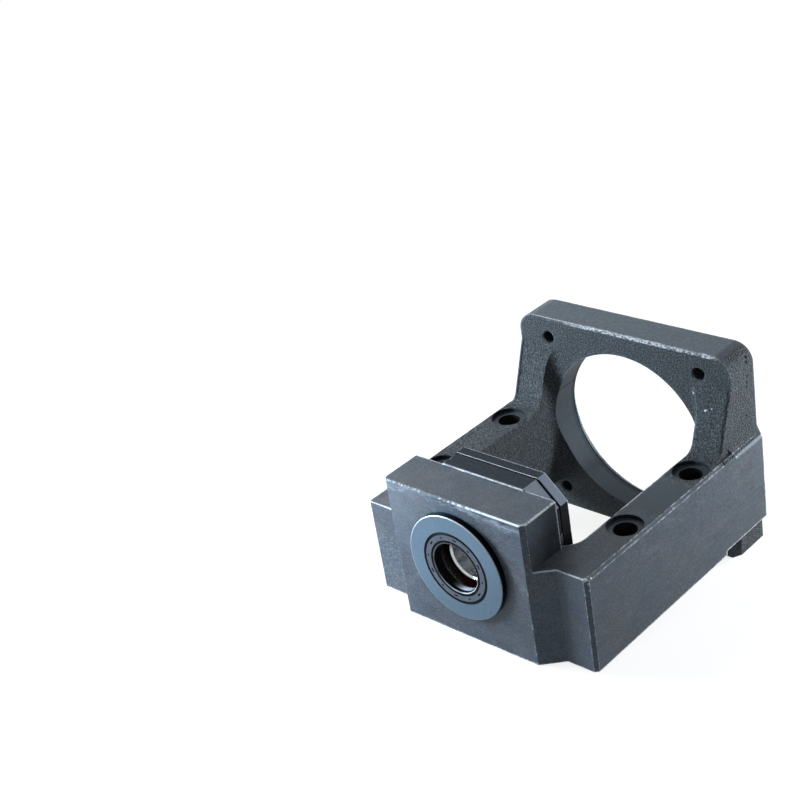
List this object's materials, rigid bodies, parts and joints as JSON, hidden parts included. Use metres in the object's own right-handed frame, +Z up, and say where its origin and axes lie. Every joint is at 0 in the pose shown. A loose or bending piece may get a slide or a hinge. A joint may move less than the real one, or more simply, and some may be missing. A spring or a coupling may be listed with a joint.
{
  "type": "ball screw end support with motor bracket",
  "caption": "Fixed-side ball screw bearing support cast in one piece with two side rails and a square-flange motor plate, with lip seals, duplex bearings and a bolted cover.",
  "frame": {"origin": "on the screw axis, in the plane of the side rails' front faces, inside the bearing bore", "axes": "+Y along the screw axis from the screw towards the motor, +Z up from the base, +X to the right seen from the screw side"},
  "size_m": [0.15, 0.1753, 0.128],
  "materials": {
    "cast_body": "black oxide on machined faces, sand-cast skin elsewhere, worn bright on the edges",
    "blued_steel": "turned steel, blue-grey",
    "seal_rubber": "moulded nitrile, dark grey",
    "bearing_steel": "ground bearing steel",
    "cage_laminate": "machined phenolic laminate, red-brown",
    "black_steel": "ground steel, black oxide",
    "black_screw": "black oxide"
  },
  "bodies": {
    "housing": {"bracket": "cast_body", "seal_holder": "blued_steel", "front_seal": "seal_rubber", "front_seal_spring": "bearing_steel", "front_outer_ring": "bearing_steel", "rear_outer_ring": "bearing_steel", "rear_cover": "black_steel", "rear_seal": "seal_rubber", "rear_seal_spring": "bearing_steel", "cover_screws": "black_screw"},
    "spindle": {"front_inner_ring": "bearing_steel", "rear_inner_ring": "bearing_steel", "rear_collar": "bearing_steel"},
    "front_ball_set": {"front_balls": "bearing_steel", "front_cage": "cage_laminate"},
    "rear_ball_set": {"rear_balls": "bearing_steel", "rear_cage": "cage_laminate"}
  },
  "joints": [
    {"name": "spindle_spin", "type": "hinge", "parent": "housing", "child": "spindle", "pos_m": [0, 0, 0], "axis": [0, 1, 0], "continuous": true},
    {"name": "front_ball_orbit", "type": "hinge", "parent": "housing", "child": "front_ball_set", "pos_m": [0, 0, 0], "axis": [0, 1, 0], "continuous": true},
    {"name": "rear_ball_orbit", "type": "hinge", "parent": "housing", "child": "rear_ball_set", "pos_m": [0, 0, 0], "axis": [0, 1, 0], "continuous": true}
  ],
  "couplings": [
    {"joint": "front_ball_orbit", "follows": "spindle_spin", "ratio": 0.4112},
    {"joint": "rear_ball_orbit", "follows": "spindle_spin", "ratio": 0.4112}
  ]
}
